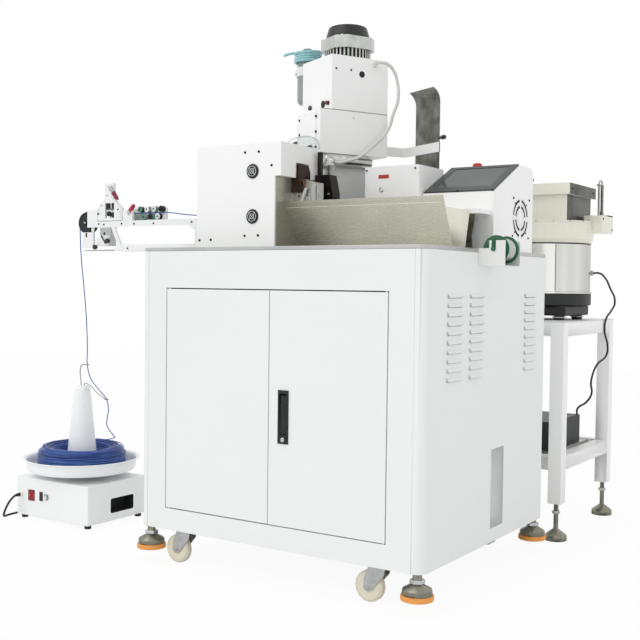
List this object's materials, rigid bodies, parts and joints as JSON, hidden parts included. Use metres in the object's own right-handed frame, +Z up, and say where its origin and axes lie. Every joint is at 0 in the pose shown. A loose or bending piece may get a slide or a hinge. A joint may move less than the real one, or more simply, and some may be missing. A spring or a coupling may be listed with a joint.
{
  "type": "cable crimping and tinning machine",
  "caption": "Floor-standing wire processing machine: feed arm, cutter, crimping press, tin pot and screen on a cabinet, with a wire pay-off turntable and a terminal bowl feeder.",
  "frame": {"origin": "on the floor, at the middle of the footprint of the whole set without its free cords", "axes": "+X to the machine's right seen from its front, +Y to its back, +Z up"},
  "size_m": [1.7176, 1.431, 1.5713],
  "materials": {
    "cabinet white powder coat": "fine texture",
    "caster zinc plate": "zinc plated",
    "caster wheel nylon": "moulded",
    "worktop brushed steel": "brushed",
    "galvanised mounting plate": "galvanised",
    "door white powder coat": "fine texture",
    "latch black zinc": "satin",
    "enclosure white powder coat": "fine texture",
    "trough stainless sheet": "brushed",
    "cutter blackened steel": "blackened",
    "blade ground steel": "ground",
    "gripper anodised black": "anodised",
    "press cast light grey": "painted casting",
    "press white powder coat": "fine texture",
    "ram ground steel": "ground",
    "button black": "moulded",
    "motor cast aluminium": "cast",
    "bottle translucent plastic": "translucent",
    "air hose cyan polyurethane": "satin",
    "guide bracket white": "satin",
    "pot cover white powder coat": "fine texture",
    "pot dark stainless": "heat tinted",
    "control housing white": "fine texture",
    "screen glass dark": "dark screen",
    "stop button red": "gloss",
    "fan black plastic": "moulded",
    "spool bracket white": "satin",
    "spool green plastic": "moulded",
    "feed arm white powder coat": "satin",
    "encoder black rubber": "ribbed",
    "cam lever crimson plastic": "moulded",
    "pay-off white powder coat": "fine texture",
    "pay-off trim black": "moulded",
    "rocker red plastic": "gloss",
    "cone white enamel": "gloss",
    "dish white enamel": "gloss",
    "coil blue insulation": "wound wire",
    "stand white powder coat": "satin",
    "feeder drive dark stainless": "polished",
    "bowl cream enamel": "satin",
    "controller black plastic": "moulded",
    "cord black rubber": "smooth",
    "feed wire blue insulation": "smooth",
    "conduit grey plastic": "ribbed",
    "plug black plastic": "moulded"
  },
  "bodies": {
    "machine": {"cabinet_front_frame": "cabinet white powder coat", "cabinet_left_panel": "cabinet white powder coat", "cabinet_right_panel": "cabinet white powder coat", "cabinet_back_panel": "cabinet white powder coat", "cabinet_base": "cabinet white powder coat", "worktop_plate": "worktop brushed steel", "electrics_plate": "galvanised mounting plate", "feed_enclosure": "enclosure white powder coat", "catch_trough": "trough stainless sheet", "cutter_head": "cutter blackened steel", "press_frame": "press cast light grey", "press_head": "press white powder coat", "press_cover": "press white powder coat", "press_motor": "motor cast aluminium", "oil_bottle": "bottle translucent plastic", "air_hose_coil": "air hose cyan polyurethane", "terminal_guide": "guide bracket white", "solder_cover": "pot cover white powder coat", "solder_pot": "pot dark stainless", "control_housing": "control housing white", "touch_panel": "screen glass dark", "spool_bracket": "spool bracket white", "feed_arm": "feed arm white powder coat", "payoff_housing": "pay-off white powder coat", "payoff_cone": "cone white enamel", "feeder_stand": "stand white powder coat", "feeder_drive": "feeder drive dark stainless", "feeder_bowl": "bowl cream enamel", "feeder_controller": "controller black plastic", "feed_wire": "feed wire blue insulation", "feeder_cord": "cord black rubber", "payoff_cord": "cord black rubber", "conduit": "conduit grey plastic", "payoff_cord_coil": "cord black rubber", "payoff_plug": "plug black plastic"},
    "left_door": {"left_door": "door white powder coat"},
    "right_door": {"right_door": "door white powder coat"},
    "latch_lever": {"latch_lever": "latch black zinc"},
    "cutter_blade": {"cutter_blade": "blade ground steel"},
    "swing_gripper": {"swing_gripper": "gripper anodised black"},
    "press_ram": {"press_ram": "ram ground steel"},
    "press_start_button": {"press_start_button": "button black"},
    "stop_button": {"stop_button": "stop button red"},
    "housing_fan": {"housing_fan": "fan black plastic"},
    "solder_spool": {"solder_spool": "spool green plastic"},
    "encoder_wheel": {"encoder_wheel": "encoder black rubber"},
    "cam_lever_tower": {"cam_lever_tower": "cam lever crimson plastic"},
    "cam_lever_rollers": {"cam_lever_rollers": "cam lever crimson plastic"},
    "speed_knob": {"speed_knob": "pay-off trim black"},
    "rocker_switch": {"rocker_switch": "rocker red plastic"},
    "turntable": {"turntable": "dish white enamel", "wire_coil": "coil blue insulation"},
    "caster_fork_front_left": {"caster_fork_front_left": "caster zinc plate"},
    "caster_wheel_front_left": {"caster_wheel_front_left": "caster wheel nylon"},
    "caster_fork_front_right": {"caster_fork_front_right": "caster zinc plate"},
    "caster_wheel_front_right": {"caster_wheel_front_right": "caster wheel nylon"},
    "caster_fork_rear_left": {"caster_fork_rear_left": "caster zinc plate"},
    "caster_wheel_rear_left": {"caster_wheel_rear_left": "caster wheel nylon"},
    "caster_fork_rear_right": {"caster_fork_rear_right": "caster zinc plate"},
    "caster_wheel_rear_right": {"caster_wheel_rear_right": "caster wheel nylon"}
  },
  "joints": [
    {"name": "left_door_hinge", "type": "hinge", "parent": "machine", "child": "left_door", "pos_m": [-0.0225, -0.6925, 0.467], "axis": [0, 0, 1], "range_deg": [-110, 0]},
    {"name": "right_door_hinge", "type": "hinge", "parent": "machine", "child": "right_door", "pos_m": [0.6655, -0.6925, 0.467], "axis": [0, 0, 1], "range_deg": [0, 110]},
    {"name": "latch_lever_hinge", "type": "hinge", "parent": "right_door", "child": "latch_lever", "pos_m": [0.369, -0.694, 0.496], "axis": [1, 0, 0], "range_deg": [-50, 0]},
    {"name": "cutter_blade_slide", "type": "slide", "parent": "machine", "child": "cutter_blade", "axis": [0, 0, 1], "range_m": [-0.008, 0]},
    {"name": "swing_gripper_turn", "type": "hinge", "parent": "machine", "child": "swing_gripper", "pos_m": [0.356, -0.3205, 1.013], "axis": [0, 0, 1], "range_deg": [0, 60]},
    {"name": "press_ram_slide", "type": "slide", "parent": "machine", "child": "press_ram", "axis": [0, 0, 1], "range_m": [-0.03, 0]},
    {"name": "press_start_button_push", "type": "slide", "parent": "machine", "child": "press_start_button", "axis": [0.4493, 0.8934, 0], "range_m": [0, 0.003], "stiffness_N_per_m": 400},
    {"name": "stop_button_push", "type": "slide", "parent": "machine", "child": "stop_button", "axis": [0, 0, -1], "range_m": [0, 0.004], "stiffness_N_per_m": 500},
    {"name": "housing_fan_turn", "type": "hinge", "parent": "machine", "child": "housing_fan", "pos_m": [0.75, -0.1215, 0.98], "axis": [1, 0, 0], "continuous": true},
    {"name": "solder_spool_turn", "type": "hinge", "parent": "machine", "child": "solder_spool", "pos_m": [0.816, -0.3615, 0.884], "axis": [0, 1, 0], "continuous": true},
    {"name": "encoder_wheel_turn", "type": "hinge", "parent": "machine", "child": "encoder_wheel", "pos_m": [-0.558, -0.4825, 0.977], "axis": [0, 1, 0], "continuous": true},
    {"name": "cam_lever_tower_turn", "type": "hinge", "parent": "machine", "child": "cam_lever_tower", "pos_m": [-0.434, -0.5068, 1.079], "axis": [0, 1, 0], "range_deg": [-90, 0]},
    {"name": "cam_lever_rollers_turn", "type": "hinge", "parent": "machine", "child": "cam_lever_rollers", "pos_m": [-0.362, -0.5018, 1.004], "axis": [0, 1, 0], "range_deg": [-60, 0]},
    {"name": "speed_knob_turn", "type": "hinge", "parent": "machine", "child": "speed_knob", "pos_m": [-0.683, -0.5415, 0.083], "axis": [0, 1, 0], "range_deg": [-135, 135]},
    {"name": "rocker_switch_tilt", "type": "hinge", "parent": "machine", "child": "rocker_switch", "pos_m": [-0.754, -0.5375, 0.081], "axis": [1, 0, 0], "range_deg": [-12, 0]},
    {"name": "turntable_turn", "type": "hinge", "parent": "machine", "child": "turntable", "pos_m": [-0.659, -0.4085, 0.16], "axis": [0, 0, 1], "continuous": true},
    {"name": "caster_swivel_front_left", "type": "hinge", "parent": "machine", "child": "caster_fork_front_left", "pos_m": [0.012, -0.6535, 0.09], "axis": [0, 0, 1], "continuous": true},
    {"name": "caster_roll_front_left", "type": "hinge", "parent": "caster_fork_front_left", "child": "caster_wheel_front_left", "pos_m": [-0.016, -0.6535, 0.04], "axis": [0, 1, 0], "continuous": true},
    {"name": "caster_swivel_front_right", "type": "hinge", "parent": "machine", "child": "caster_fork_front_right", "pos_m": [0.636, -0.6535, 0.09], "axis": [0, 0, 1], "continuous": true},
    {"name": "caster_roll_front_right", "type": "hinge", "parent": "caster_fork_front_right", "child": "caster_wheel_front_right", "pos_m": [0.608, -0.6535, 0.04], "axis": [0, 1, 0], "continuous": true},
    {"name": "caster_swivel_rear_left", "type": "hinge", "parent": "machine", "child": "caster_fork_rear_left", "pos_m": [0.012, 0.0415, 0.09], "axis": [0, 0, 1], "continuous": true},
    {"name": "caster_roll_rear_left", "type": "hinge", "parent": "caster_fork_rear_left", "child": "caster_wheel_rear_left", "pos_m": [-0.016, 0.0415, 0.04], "axis": [0, 1, 0], "continuous": true},
    {"name": "caster_swivel_rear_right", "type": "hinge", "parent": "machine", "child": "caster_fork_rear_right", "pos_m": [0.636, 0.0415, 0.09], "axis": [0, 0, 1], "continuous": true},
    {"name": "caster_roll_rear_right", "type": "hinge", "parent": "caster_fork_rear_right", "child": "caster_wheel_rear_right", "pos_m": [0.608, 0.0415, 0.04], "axis": [0, 1, 0], "continuous": true}
  ]
}
